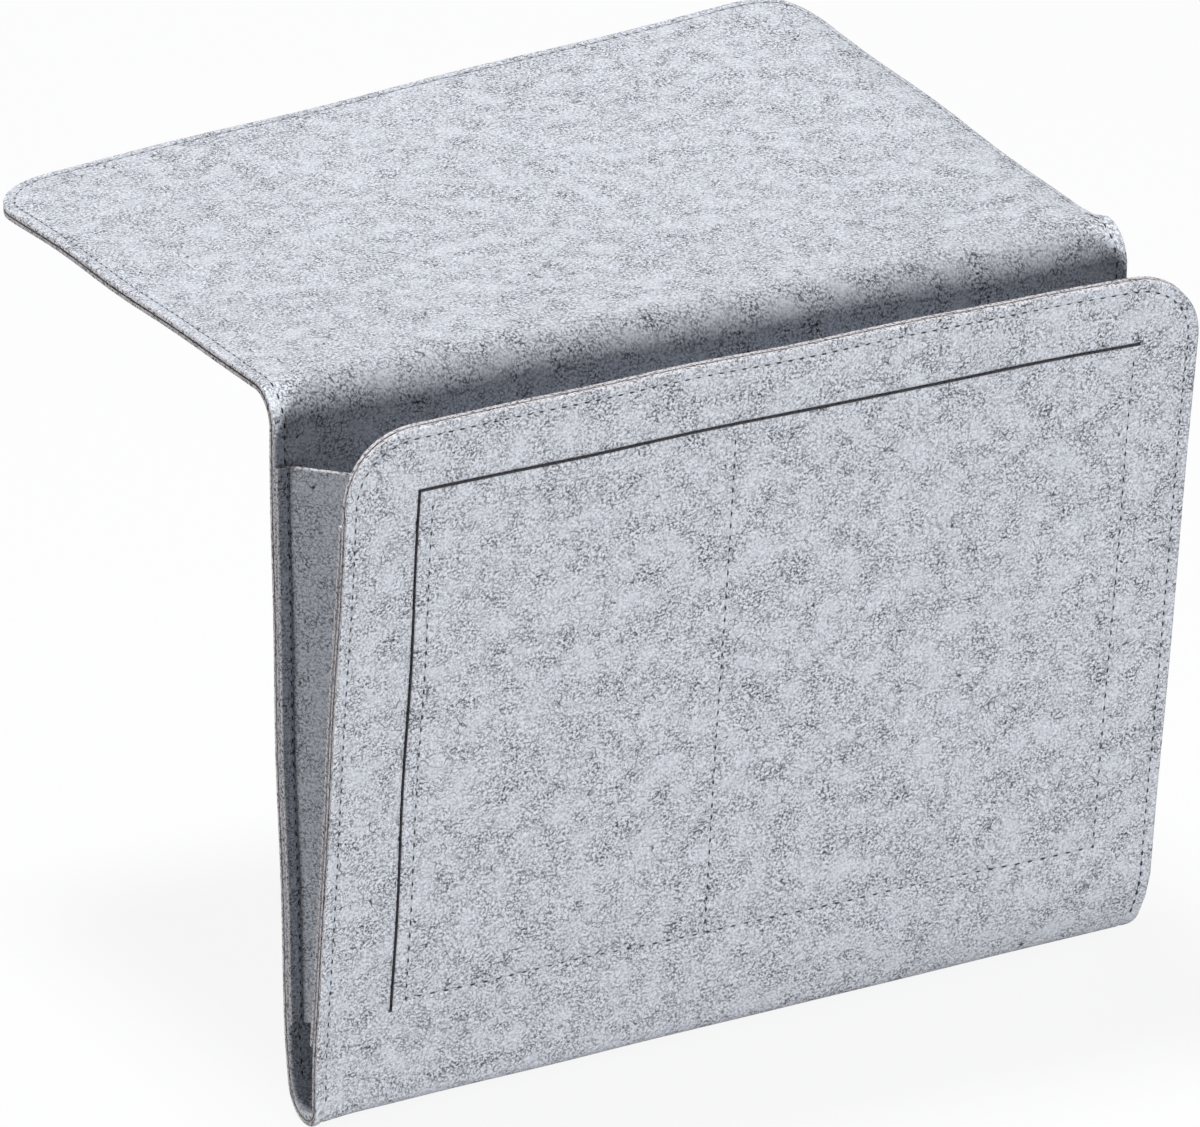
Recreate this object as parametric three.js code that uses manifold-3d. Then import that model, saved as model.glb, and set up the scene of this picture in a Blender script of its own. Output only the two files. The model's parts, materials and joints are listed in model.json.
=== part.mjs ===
// A felt bedside caddy: a long two-ply felt strip folded into a flap, a back and a front panel,
// with a folding gusset at each side, a slit pocket in the front and rows of stitching.
// Frame: +X to the right, +Y back over the bed base, +Z up, origin at the centre of the flap's underside.
import * as THREE from 'three';
import { mergeVertices } from 'three/addons/utils/BufferGeometryUtils.js';
import Module from 'manifold-3d';

const wasm = await Module();
wasm.setup();

// Felt strip, in millimetres
const WIDTH = 320;
const PLY = 2;
const FLAP_LENGTH = 230;
const BACK_HEIGHT = 242;
const FRONT_LENGTH = 262;
const CORNER_RADIUS = 26;
const SHOULDER_RADIUS = 10;
// Angle between back and front, and how much further the front can open, in degrees
const OPENING_ANGLE = 12;
const EXTRA_OPENING = 4;
// Air left between two pieces of felt that are only sewn together or lie against each other
const GAP = 0.3;

// Gusset: heights are measured up from the crease at the bottom of the pocket
const GUSSET_TOP = 228;
const GUSSET_FOOT = 32;
const FLANGE_WIDTH = 5.2;
const LEAF_FOLD = 45;
const LEAF_FOOT_WIDTH = 0.8;
const FOLD_CLEARANCE = 1.1;

// Slit that opens the front pockets: along the top, then down the left side
const SLIT_WIDTH = 1.4;
const SLIT_BELOW_TOP = 24;
const SLIT_FROM_LEFT = 27;
const SLIT_FROM_RIGHT = 22;
const SLIT_FOOT = 33;

// Stitch rows on the front
const POCKET_ROW_FROM_SLIT = 5.5;
const POCKET_ROW_FROM_RIGHT = 24;
const POCKET_ROW_FOOT = 37.5;
const POCKET_ROW_BELOW_SLIT = 2;
const DIVIDER_FROM_CENTRE = -14;

// Thread, lying in a shallow groove that it presses into the felt
const EDGE_SEAM_INSET = 4;
const EDGE_SEAM_FOOT = 5;
const THREAD_WIDTH = 0.8;
const THREAD_THICKNESS = 0.5;
const THREAD_SINK = 0.1;

// Smoothness of the rounded edges
const CORNER_STEPS = 6;
const BEND_STEPS = 8;
const LEAF_EDGE_STEPS = 4;

// Sizes that follow from the ones above
const SHEET = 2 * PLY + GAP;
const HALF_WIDTH = WIDTH / 2;
const OPENING = THREE.MathUtils.degToRad(OPENING_ANGLE);
const WIDEST = THREE.MathUtils.degToRad(OPENING_ANGLE + EXTRA_OPENING);
const FOLD_ANGLE = THREE.MathUtils.degToRad(LEAF_FOLD);
const GROOVE_WIDTH = THREAD_WIDTH + 2 * GAP;
const GROOVE_DEPTH = THREAD_SINK + THREAD_THICKNESS + GAP;
const OVERCUT = PLY;

const FELT_COLOUR = 0xb6b9bf;
const GUSSET_COLOUR = 0xaeb1b8;
const THREAD_COLOUR = 0x9da1a8;

// Solids and meshes

function solidOf(geometry) {
  const bare = geometry.clone();
  bare.deleteAttribute('normal');
  bare.deleteAttribute('uv');
  const merged = mergeVertices(bare);
  const vertProperties = new Float32Array(merged.attributes.position.array);
  const triVerts = new Uint32Array(merged.index.array);
  return new wasm.Manifold(new wasm.Mesh({ numProp: 3, vertProperties, triVerts }));
}

function geometryOf(solid) {
  const { vertProperties, triVerts } = solid.getMesh();
  const geometry = new THREE.BufferGeometry();
  geometry.setAttribute('position', new THREE.BufferAttribute(vertProperties, 3));
  geometry.setIndex(new THREE.BufferAttribute(triVerts, 1));
  geometry.computeVertexNormals();
  return geometry;
}

function cut(geometry, cutters) {
  const solid = cutters.reduce((rest, cutter) => rest.subtract(solidOf(cutter)), solidOf(geometry));
  return geometryOf(solid);
}

function add(group, name, geometry, color, roughness = 0.95) {
  const material = new THREE.MeshStandardMaterial({ color, roughness, metalness: 0 });
  const mesh = new THREE.Mesh(geometry, material);
  mesh.name = name;
  group.add(mesh);
  return mesh;
}

// Flat shapes: x runs across the caddy, y runs along the strip

function tonguePoints(length, foot, inset) {
  const side = HALF_WIDTH - inset;
  const top = length - inset;
  const radius = CORNER_RADIUS - inset;
  const path = new THREE.Path();
  path.moveTo(-side, foot);
  path.lineTo(-side, top - radius);
  path.absarc(radius - side, top - radius, radius, Math.PI, Math.PI / 2, true);
  path.absarc(side - radius, top - radius, radius, Math.PI / 2, 0, true);
  path.lineTo(side, foot);
  return path.getPoints(CORNER_STEPS);
}

function tongue(length) {
  return new THREE.Shape(tonguePoints(length, GAP, 0));
}

function tongueBand(length, foot, width) {
  const outside = tonguePoints(length, foot, EDGE_SEAM_INSET - width / 2);
  const inside = tonguePoints(length, foot, EDGE_SEAM_INSET + width / 2);
  return new THREE.Shape([...outside, ...inside.reverse()]);
}

function rectangle(left, right, low, high) {
  const shape = new THREE.Shape();
  shape.moveTo(left, low);
  shape.lineTo(right, low);
  shape.lineTo(right, high);
  shape.lineTo(left, high);
  return shape;
}

function troughBand(left, right, foot, top, width) {
  const half = width / 2;
  const shape = new THREE.Shape();
  shape.moveTo(left - half, top);
  shape.lineTo(left - half, foot - half);
  shape.lineTo(right + half, foot - half);
  shape.lineTo(right + half, top);
  shape.lineTo(right - half, top);
  shape.lineTo(right - half, foot + half);
  shape.lineTo(left + half, foot + half);
  shape.lineTo(left + half, top);
  return shape;
}

function plate(shape, low, high) {
  const options = { depth: high - low, bevelEnabled: false, curveSegments: CORNER_STEPS };
  return new THREE.ExtrudeGeometry(shape, options).translate(0, 0, low);
}

// Bent strips: a ring sector in the YZ plane, drawn out along X

function bentStrip(inner, outer, from, to, left, right) {
  const shape = new THREE.Shape();
  shape.absarc(0, 0, outer, from, to, false);
  if (inner > 0) {
    shape.absarc(0, 0, inner, to, from, true);
  } else {
    shape.lineTo(0, 0);
  }
  const options = { depth: right - left, bevelEnabled: false, curveSegments: BEND_STEPS };
  const strip = new THREE.ExtrudeGeometry(shape, options).translate(0, 0, left);
  const yAxis = new THREE.Vector3(0, 1, 0);
  const zAxis = new THREE.Vector3(0, 0, 1);
  const xAxis = new THREE.Vector3(1, 0, 0);
  return strip.applyMatrix4(new THREE.Matrix4().makeBasis(yAxis, zAxis, xAxis));
}

// A thread and its groove share one flat outline; the groove opens through the face at `face`
// and `inward` is the direction, along the plate's thickness, from that face into the felt.

function threadPlate(outline, face, inward) {
  const near = face + inward * THREAD_SINK;
  const far = face + inward * (THREAD_SINK + THREAD_THICKNESS);
  return plate(outline(THREAD_WIDTH), Math.min(near, far), Math.max(near, far));
}

function groovePlate(outline, face, inward) {
  const near = face - inward * OVERCUT;
  const far = face + inward * GROOVE_DEPTH;
  return plate(outline(GROOVE_WIDTH), Math.min(near, far), Math.max(near, far));
}

// Flap: the lower ply is the strip's outer felt, the upper ply its lining

function buildFlap() {
  const group = new THREE.Group();
  group.position.y = -FLAP_LENGTH / 2;
  const outline = (width) => tongueBand(FLAP_LENGTH, GAP, width);
  const lining = plate(tongue(FLAP_LENGTH), PLY + GAP, SHEET);
  add(group, 'flap_outer', plate(tongue(FLAP_LENGTH), 0, PLY), FELT_COLOUR);
  add(group, 'flap_lining', cut(lining, [groovePlate(outline, SHEET, -1)]), FELT_COLOUR);
  add(group, 'edge_seam_flap', threadPlate(outline, SHEET, -1), THREAD_COLOUR);
  return group;
}

// Shoulder: a quarter bend from the flap down into the back

function buildShoulder() {
  const group = new THREE.Group();
  group.position.set(0, -FLAP_LENGTH / 2, -SHOULDER_RADIUS);
  const from = Math.PI / 2;
  const to = Math.PI;
  const crown = SHOULDER_RADIUS + SHEET;
  const seamAt = HALF_WIDTH - EDGE_SEAM_INSET;
  const strip = (inner, outer, centre, width) =>
    bentStrip(inner, outer, from, to, centre - width / 2, centre + width / 2);

  const outer = strip(SHOULDER_RADIUS, SHOULDER_RADIUS + PLY, 0, WIDTH);
  const lining = strip(SHOULDER_RADIUS + PLY + GAP, crown, 0, WIDTH);
  const sides = [['left', -seamAt], ['right', seamAt]];
  const grooves = sides.map(([, x]) => bentStrip(
    crown - GROOVE_DEPTH, crown + OVERCUT, from - 1, to + 1, x - GROOVE_WIDTH / 2, x + GROOVE_WIDTH / 2));

  add(group, 'shoulder_outer', outer, FELT_COLOUR);
  add(group, 'shoulder_lining', cut(lining, grooves), FELT_COLOUR);
  for (const [side, x] of sides) {
    const thread = strip(crown - THREAD_SINK - THREAD_THICKNESS, crown - THREAD_SINK, x, THREAD_WIDTH);
    add(group, `edge_seam_shoulder_${side}`, thread, THREAD_COLOUR);
  }
  return group;
}

// Gusset: a flange sewn to the panel and a leaf that folds in from it. `facing` is +1 where the
// pocket lies on the plate's positive side, as on the back, and -1 where it lies on the other.

function buildGussetHalf(group, side, sideSign, half, facing) {
  const hingeX = sideSign * (HALF_WIDTH - FLANGE_WIDTH - GAP - PLY / 2);
  const hingeDepth = GAP + PLY / 2;
  const flangeEdges = [sideSign * HALF_WIDTH, sideSign * (HALF_WIDTH - FLANGE_WIDTH)];
  const flangeFaces = [facing * GAP, facing * (GAP + PLY)];
  const flangeShape = rectangle(Math.min(...flangeEdges), Math.max(...flangeEdges), GUSSET_FOOT, GUSSET_TOP);
  const flange = plate(flangeShape, Math.min(...flangeFaces), Math.max(...flangeFaces));
  add(group, `gusset_${side}_${half}_flange`, flange, GUSSET_COLOUR);

  const leaf = add(group, `gusset_${side}_${half}_leaf`, leafGeometry(hingeDepth), GUSSET_COLOUR);
  leaf.position.set(hingeX, 0, facing * hingeDepth);
  leaf.rotation.y = Math.atan2(-facing * Math.cos(FOLD_ANGLE), -sideSign * Math.sin(FOLD_ANGLE));
}

// The leaf widens upward so that its free edge follows the plane midway between back and front.

function leafGeometry(hingeDepth) {
  const rise = Math.tan(OPENING / 2);
  const setback = hingeDepth + PLY / 2 + FOLD_CLEARANCE;
  const widthAt = (height) => (height * rise - setback) / Math.cos(FOLD_ANGLE);
  const foot = (setback + LEAF_FOOT_WIDTH * Math.cos(FOLD_ANGLE)) / rise;
  const topWidth = widthAt(GUSSET_TOP);

  const section = new THREE.Shape();
  section.absarc(0, 0, PLY / 2, Math.PI / 2, 3 * Math.PI / 2, false);
  section.absarc(topWidth, 0, PLY / 2, -Math.PI / 2, Math.PI / 2, false);
  const options = { depth: GUSSET_TOP - foot, bevelEnabled: false, curveSegments: LEAF_EDGE_STEPS };
  const leaf = new THREE.ExtrudeGeometry(section, options).translate(0, 0, foot).rotateX(-Math.PI / 2);

  const position = leaf.attributes.position;
  for (let i = 0; i < position.count; i += 1) {
    if (position.getX(i) > topWidth / 2) {
      position.setX(i, position.getX(i) + widthAt(position.getY(i)) - topWidth);
    }
  }
  return leaf;
}

function buildGussets(group, half, facing) {
  buildGussetHalf(group, 'left', -1, half, facing);
  buildGussetHalf(group, 'right', 1, half, facing);
}

// Back and front stand on the crease at the pocket's bottom: y runs up the panel from the crease,
// z runs through its thickness towards the viewer, and z = 0 is the face inside the pocket.

function creaseGroup(lean) {
  const group = new THREE.Group();
  group.position.set(0, -FLAP_LENGTH / 2 - SHOULDER_RADIUS - SHEET, -SHOULDER_RADIUS - BACK_HEIGHT);
  group.rotation.x = lean;
  return group;
}

function buildBack() {
  const group = creaseGroup(Math.PI / 2);
  const top = BACK_HEIGHT - GAP;
  const panel = rectangle(-HALF_WIDTH, HALF_WIDTH, GAP, top);
  const sides = [['left', -1], ['right', 1]];
  const outlines = sides.map(([, sign]) => (width) => {
    const x = sign * (HALF_WIDTH - EDGE_SEAM_INSET);
    return rectangle(x - width / 2, x + width / 2, EDGE_SEAM_FOOT, top);
  });
  const grooves = outlines.map((outline) => groovePlate(outline, -SHEET, 1));

  add(group, 'back_lining', plate(panel, -PLY, 0), FELT_COLOUR);
  add(group, 'back_outer', cut(plate(panel, -SHEET, -PLY - GAP), grooves), FELT_COLOUR);
  sides.forEach(([side], i) => {
    add(group, `edge_seam_back_${side}`, threadPlate(outlines[i], -SHEET, 1), THREAD_COLOUR);
  });
  buildGussets(group, 'rear', 1);
  return group;
}

// Bottom fold: both plies wrap round the crease, as far as the front still leaves room when wide open

function buildFold() {
  const group = creaseGroup(0);
  const to = WIDEST - Math.PI;
  add(group, 'fold_lining', bentStrip(0, PLY, to, 0, -HALF_WIDTH, HALF_WIDTH), FELT_COLOUR);
  add(group, 'fold_outer', bentStrip(PLY + GAP, SHEET, to, 0, -HALF_WIDTH, HALF_WIDTH), FELT_COLOUR);
  return group;
}

// Front: the outer ply carries the slit, and the pocket lies between it and the lining

function slitOutline() {
  const left = SLIT_FROM_LEFT - HALF_WIDTH;
  const right = HALF_WIDTH - SLIT_FROM_RIGHT;
  const top = FRONT_LENGTH - SLIT_BELOW_TOP;
  const slit = new THREE.Path();
  slit.moveTo(left, SLIT_FOOT);
  slit.lineTo(left + SLIT_WIDTH, SLIT_FOOT);
  slit.lineTo(left + SLIT_WIDTH, top - SLIT_WIDTH);
  slit.lineTo(right, top - SLIT_WIDTH);
  slit.lineTo(right, top);
  slit.lineTo(left, top);
  return slit;
}

function buildFront() {
  const group = creaseGroup(Math.PI / 2 + OPENING);
  const rowLeft = SLIT_FROM_LEFT + SLIT_WIDTH / 2 + POCKET_ROW_FROM_SLIT - HALF_WIDTH;
  const rowRight = HALF_WIDTH - POCKET_ROW_FROM_RIGHT;
  const rowTop = FRONT_LENGTH - SLIT_BELOW_TOP - SLIT_WIDTH - POCKET_ROW_BELOW_SLIT;
  const dividerFoot = POCKET_ROW_FOOT + THREAD_WIDTH / 2 + GAP;

  const edge = (width) => tongueBand(FRONT_LENGTH, EDGE_SEAM_FOOT, width);
  const pocket = (width) => troughBand(rowLeft, rowRight, POCKET_ROW_FOOT, rowTop, width);
  const divider = (width) =>
    rectangle(DIVIDER_FROM_CENTRE - width / 2, DIVIDER_FROM_CENTRE + width / 2, dividerFoot, rowTop);

  const outerShape = tongue(FRONT_LENGTH);
  outerShape.holes.push(slitOutline());
  const outer = plate(outerShape, PLY + GAP, SHEET);
  const grooves = [edge, pocket, divider].map((outline) => groovePlate(outline, SHEET, -1));

  add(group, 'front_lining', plate(tongue(FRONT_LENGTH), 0, PLY), FELT_COLOUR);
  add(group, 'front_outer', cut(outer, grooves), FELT_COLOUR);
  add(group, 'edge_seam_front', threadPlate(edge, SHEET, -1), THREAD_COLOUR);
  add(group, 'pocket_seam', threadPlate(pocket, SHEET, -1), THREAD_COLOUR);
  add(group, 'divider_seam', threadPlate(divider, SHEET, -1), THREAD_COLOUR);
  buildGussets(group, 'front', -1);
  return group;
}

const caddy = new THREE.Group();
caddy.add(buildFlap(), buildShoulder(), buildBack(), buildFold(), buildFront());

export default caddy;
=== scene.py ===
"""A felt bedside caddy: a two-ply felt strip folded into a flap, a back and a front panel.

A folding gusset closes each side, a slit in the front opens two flat pockets, and rows of stitches
hold the plies together. Lengths are in metres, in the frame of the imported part.
"""
import json
import logging
import math
from dataclasses import dataclass
from enum import Enum, IntEnum
from functools import cached_property
from typing import Any, Callable, Iterable, Iterator

import bmesh
import bpy
from bmesh.types import BMesh
from bpy.types import Material, Node, NodeSocket, NodeTree, Object
from mathutils import Matrix, Vector


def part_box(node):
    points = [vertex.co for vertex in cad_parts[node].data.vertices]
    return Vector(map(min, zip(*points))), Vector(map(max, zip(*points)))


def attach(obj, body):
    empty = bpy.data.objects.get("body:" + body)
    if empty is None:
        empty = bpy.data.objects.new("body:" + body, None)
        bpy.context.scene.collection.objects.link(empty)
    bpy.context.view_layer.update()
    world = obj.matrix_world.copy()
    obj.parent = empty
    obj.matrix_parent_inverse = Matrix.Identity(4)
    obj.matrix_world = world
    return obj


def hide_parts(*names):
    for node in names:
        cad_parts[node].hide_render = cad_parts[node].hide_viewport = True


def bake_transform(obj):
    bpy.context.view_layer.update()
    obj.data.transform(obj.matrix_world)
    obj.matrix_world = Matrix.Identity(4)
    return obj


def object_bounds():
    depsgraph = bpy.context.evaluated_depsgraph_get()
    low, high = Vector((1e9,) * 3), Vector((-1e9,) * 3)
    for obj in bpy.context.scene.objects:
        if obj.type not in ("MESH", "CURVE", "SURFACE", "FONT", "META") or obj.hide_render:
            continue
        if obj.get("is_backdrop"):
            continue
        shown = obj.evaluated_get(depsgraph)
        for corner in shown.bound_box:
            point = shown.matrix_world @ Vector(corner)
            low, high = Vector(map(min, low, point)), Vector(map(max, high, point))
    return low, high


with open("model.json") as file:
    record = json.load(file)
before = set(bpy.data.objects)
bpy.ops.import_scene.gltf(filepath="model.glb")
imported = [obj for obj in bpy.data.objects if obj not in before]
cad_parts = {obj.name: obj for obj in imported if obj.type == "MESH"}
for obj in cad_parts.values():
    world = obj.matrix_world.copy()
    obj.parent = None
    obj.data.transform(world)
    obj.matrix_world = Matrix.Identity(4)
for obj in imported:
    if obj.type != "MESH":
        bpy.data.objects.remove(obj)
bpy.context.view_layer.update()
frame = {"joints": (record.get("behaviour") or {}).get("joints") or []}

LOG = logging.getLogger("caddy")
IMAGE_WIDTH = 1200
FILM_WIDTH = 36
MM = 0.001
# Places closer together than this count as one.
TOUCHING = 0.01 * MM
# Faces that meet at a wider turn than this keep a sharp edge.
SHARP_TURN = math.radians(70)
# The middle of a noise's values, and how strongly its finer layers show.
NOISE_MIDDLE = 0.5
NOISE_ROUGHNESS = 0.6
# A Mix node's colours, by number because it has several sockets of one name.
MIX_FIRST = 6
MIX_SECOND = 7
MIX_COLOUR = 2
FELT_PLACE = "felt_place"
JOINTS = {joint["name"]: joint for joint in frame["joints"]}


class Ply(Enum):
    """The two felts of the strip, with the side of the middle line that each lies on."""

    OUTER = 1
    LINING = -1


class Half(Enum):
    """The two halves of a gusset, named after the panel that each is sewn to."""

    REAR = "rear"
    FRONT = "front"


class Side(Enum):
    """The caddy's two sides, with the direction of each across the strip."""

    LEFT = -1
    RIGHT = 1


class Way(Enum):
    """The two ways on flat felt, as directions."""

    ACROSS = (1, 0, 0)
    ALONG = (0, 1, 0)


class FeltFace(IntEnum):
    """The kinds of a felt's faces, as the numbers of their materials."""

    FLAT = 0
    CUT = 1
    # The slit's walls, which take a material painted dark as shade.
    SLIT = 2


class StitchFace(IntEnum):
    """The kinds of a stitch's faces, as the numbers of their materials."""

    THREAD = 0
    # Needle holes, drawn as dark grains of painted shade.
    HOLE = 1


def linear(colour: str) -> tuple[float, float, float, float]:
    """Turns an sRGB hex colour into linear light.

    Args:
        colour: Six hex digits after a number sign.

    Returns:
        Red, green, blue and an alpha of one.
    """
    parts = [int(colour[i:i + 2], 16) / 255 for i in (1, 3, 5)]
    red, green, blue = (p / 12.92 if p <= 0.04045 else ((p + 0.055) / 1.055) ** 2.4 for p in parts)
    return red, green, blue, 1.0


def add_node(
    tree: NodeTree,
    kind: str,
    settings: dict[str | int, Any] | None = None,
    links: dict[str | int, NodeSocket] | None = None,
) -> Node:
    """Adds a shader node with its settings and links.

    Args:
        tree: The tree to add to.
        kind: The node's type.
        settings: Values by the name of a property, or by the name or number of an input.
        links: Output sockets by the name or number of the input that they feed.

    Returns:
        The new node.
    """
    node = tree.nodes.new(kind)
    for name, value in (settings or {}).items():
        if isinstance(name, int) or name in node.inputs:
            node.inputs[name].default_value = value
        else:
            setattr(node, name, value)
    for name, socket in (links or {}).items():
        tree.links.new(node.inputs[name], socket)
    return node


def new_material(name: str, roughness: float, gloss: float) -> tuple[Material, NodeTree, Node]:
    """Makes a material with a plain principled shader.

    Args:
        name: The material's name.
        roughness: The shader's roughness.
        gloss: How strong its clear reflection is.

    Returns:
        The material, its tree and its principled shader.
    """
    material = bpy.data.materials.new(name)
    material.use_nodes = True
    tree = material.node_tree
    shader = tree.nodes["Principled BSDF"]
    shader.inputs["Roughness"].default_value = roughness
    shader.inputs["Specular IOR Level"].default_value = gloss
    return material, tree, shader


@dataclass(frozen=True)
class Pattern:
    """A pattern of fibre: cloudy noise, or the curling lines where noise passes through its middle.

    The size is the width of one cloud or curl. Values from low to high are spread over the shares from
    first to last. On lines, a value is the distance from the noise's middle.
    """

    size: float
    detail: float = 1.0
    low: float = 0.0
    high: float = 1.0
    first: float = 0.0
    last: float = 1.0
    as_lines: bool = False

    def add(self, tree: NodeTree, place: NodeSocket) -> tuple[NodeSocket, NodeSocket]:
        """Adds the pattern to a material.

        Args:
            tree: The material's tree.
            place: The coordinates.

        Returns:
            The bare noise, and the pattern's share.
        """
        look = {"Scale": 1 / self.size, "Detail": self.detail, "Roughness": NOISE_ROUGHNESS}
        noise = add_node(tree, "ShaderNodeTexNoise", look, {"Vector": place}).outputs["Fac"]
        value = noise
        if self.as_lines:
            for step in ({"operation": "SUBTRACT", 1: NOISE_MIDDLE}, {"operation": "ABSOLUTE"}):
                value = add_node(tree, "ShaderNodeMath", step, {0: value}).outputs["Value"]
        spread = {"From Min": self.low, "From Max": self.high, "To Min": self.first, "To Max": self.last}
        return noise, add_node(tree, "ShaderNodeMapRange", spread, {"Value": value}).outputs["Result"]


@dataclass(frozen=True)
class FeltFibre:
    """What felt shows on every side: pale fibre with dark specks and shallow pits, and hardly any gloss."""

    name: str
    pale: str
    dark: str
    specks: Pattern = Pattern(1.1 * MM, 2.0, 0.48, 0.64)
    relief: float = 0.3 * MM
    relief_strength: float = 0.8
    roughness: float = 1.0
    gloss: float = 0.1

    def material(self) -> Material:
        """Builds the material on the flat cut's own coordinates.

        Returns:
            The material.
        """
        made, tree, shader = new_material(self.name, self.roughness, self.gloss)
        place = add_node(tree, "ShaderNodeAttribute", {"attribute_name": FELT_PLACE}).outputs["Vector"]
        grain, specks = self.specks.add(tree, place)
        tones = {"data_type": "RGBA", MIX_FIRST: linear(self.pale), MIX_SECOND: linear(self.dark)}
        mixed = add_node(tree, "ShaderNodeMix", tones, {0: self.dark_share(tree, place, specks)})
        pits = {"Strength": self.relief_strength, "Distance": self.relief, "invert": True}
        bump = add_node(tree, "ShaderNodeBump", pits, {"Height": grain})
        tree.links.new(shader.inputs["Base Color"], mixed.outputs[MIX_COLOUR])
        tree.links.new(shader.inputs["Normal"], bump.outputs["Normal"])
        return made

    def dark_share(self, tree: NodeTree, place: NodeSocket, specks: NodeSocket) -> NodeSocket:
        """Gives the share of dark fibre: the specks alone."""
        return specks


@dataclass(frozen=True)
class CutEdge(FeltFibre):
    """The sheared edge of needle felt: fibre ends seen end on, slightly warm and quite rough."""


@dataclass(frozen=True)
class NeedleFelt(FeltFibre):
    """Needle-punched felt of pale wool-like fibre with dark fibre carded in, matte and heathered.

    To the eye it is a pale ground full of fine dark specks and curls, thicker in soft patches about a
    centimetre wide, with a few longer dark hairs. It has no gloss.
    """

    # Fibres are finer than this. They are drawn coarser, as the width of the strands they gather in.
    specks: Pattern = Pattern(1.0 * MM, 2.0, 0.48, 0.61)
    fluff: Pattern = Pattern(1.2 * MM, 2.0, 0.43, 0.57, last=0.16)
    curls: Pattern = Pattern(1.7 * MM, high=0.055, first=1.0, last=0.0, as_lines=True)
    hairs: Pattern = Pattern(6 * MM, high=0.015, first=1.0, last=0.0, as_lines=True)
    patches: Pattern = Pattern(9 * MM, 4.0, 0.34, 0.66, 0.38, 0.95)
    hair_patches: Pattern = Pattern(16 * MM, low=0.46, high=0.58)
    relief: float = 0.25 * MM
    relief_strength: float = 0.6
    roughness: float = 0.95

    def dark_share(self, tree: NodeTree, place: NodeSocket, specks: NodeSocket) -> NodeSocket:
        """Gives the share of dark fibre: fluff all over, and specks, curls and hairs in their patches.

        Args:
            tree: The material's tree.
            place: The coordinates.
            specks: The share of the specks.

        Returns:
            The share.
        """
        _, share = self.fluff.add(tree, place)
        _, curls = self.curls.add(tree, place)
        _, hairs = self.hairs.add(tree, place)
        _, patches = self.patches.add(tree, place)
        _, hair_patches = self.hair_patches.add(tree, place)
        for strands, patch in ((specks, patches), (curls, patches), (hairs, hair_patches)):
            thinned = add_node(tree, "ShaderNodeMath", {"operation": "MULTIPLY"}, {0: strands, 1: patch})
            both = {0: share, 1: thinned.outputs["Value"]}
            share = add_node(tree, "ShaderNodeMath", {"operation": "MAXIMUM"}, both).outputs["Value"]
        return share


@dataclass(frozen=True)
class SpunThread:
    """Spun polyester sewing thread: nearly matte, with a faint uneven twist."""

    name: str
    light: str
    dark: str
    twist: Pattern = Pattern(0.6 * MM)
    roughness: float = 0.7
    gloss: float = 0.3

    def material(self) -> Material:
        """Builds the thread's material on object coordinates.

        Returns:
            The material.
        """
        made, tree, shader = new_material(self.name, self.roughness, self.gloss)
        _, twist = self.twist.add(tree, add_node(tree, "ShaderNodeTexCoord").outputs["Object"])
        tones = {"data_type": "RGBA", MIX_FIRST: linear(self.dark), MIX_SECOND: linear(self.light)}
        mixed = add_node(tree, "ShaderNodeMix", tones, {0: twist})
        tree.links.new(shader.inputs["Base Color"], mixed.outputs[MIX_COLOUR])
        return made


FELT = NeedleFelt("heather_needle_felt", "#ebeff8", "#20252e")
# The gussets' felt: the felt's own colour made a little darker, with darker specks, as painted shade.
SHADED_GUSSET_FELT = NeedleFelt("heather_needle_felt_gusset", "#e4e8f0", "#14181f")
EDGE = CutEdge("needle_felt_cut_edge", "#e0dcde", "#464247")
# The slit's walls: cut felt painted dark as the shade inside the narrow slit.
SLIT_WALL_SHADE = CutEdge("needle_felt_slit_wall", "#66656a", "#353538")
THREAD = SpunThread("spun_polyester_thread", "#d8dce4", "#bfc3cb")
# Painted shade of a needle hole: a dark grain where the hole's shadow falls, as uneven as the thread.
NEEDLE_HOLE_SHADE = SpunThread("felt_in_needle_hole", "#34353a", "#202125")


def between(low: float, high: float, share: float) -> float:
    """Finds the value at a share of the way from one value to another."""
    return low + (high - low) * share


def eased(share: float) -> float:
    """Limits a share to between zero and one and eases it in and out."""
    limited = min(max(share, 0.0), 1.0)
    return limited * limited * (3 - 2 * limited)


@dataclass(frozen=True)
class Settling:
    """How the soft caddy in the photo has settled away from straight panels and a sharp fold."""

    back_bow: float = 6 * MM
    back_bow_below: float = 75 * MM
    back_foot: float = 8.5 * MM
    front_foot: float = 3.5 * MM
    foot_rise: float = 2 * MM
    foot_drop: float = 3 * MM
    foot_left: float = -1.4 * MM
    foot_right: float = -1.2 * MM
    fold_left: float = -2 * MM
    fold_right: float = 8 * MM
    fold_reach: float = 26 * MM
    flap_far_left: float = -6 * MM
    flap_far_right: float = 10 * MM
    flap_far_inset: float = 2.5 * MM
    flap_curl: float = 4.5 * MM
    flap_curl_reach: float = 14 * MM
    shoulder_left: float = -1.5 * MM
    shoulder_right: float = -3 * MM
    shoulder_forward: float = -4 * MM
    front_bow: float = 2 * MM
    front_curl: float = -2 * MM
    wave_height: float = 0.35 * MM
    wave_length: float = 70 * MM
    # A shift in radians, and how close the other waves lie as a share of those across the felt.
    wave_shift: float = 1.0
    wave_along: float = 0.8
    wave_slanting: float = 0.6


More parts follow.
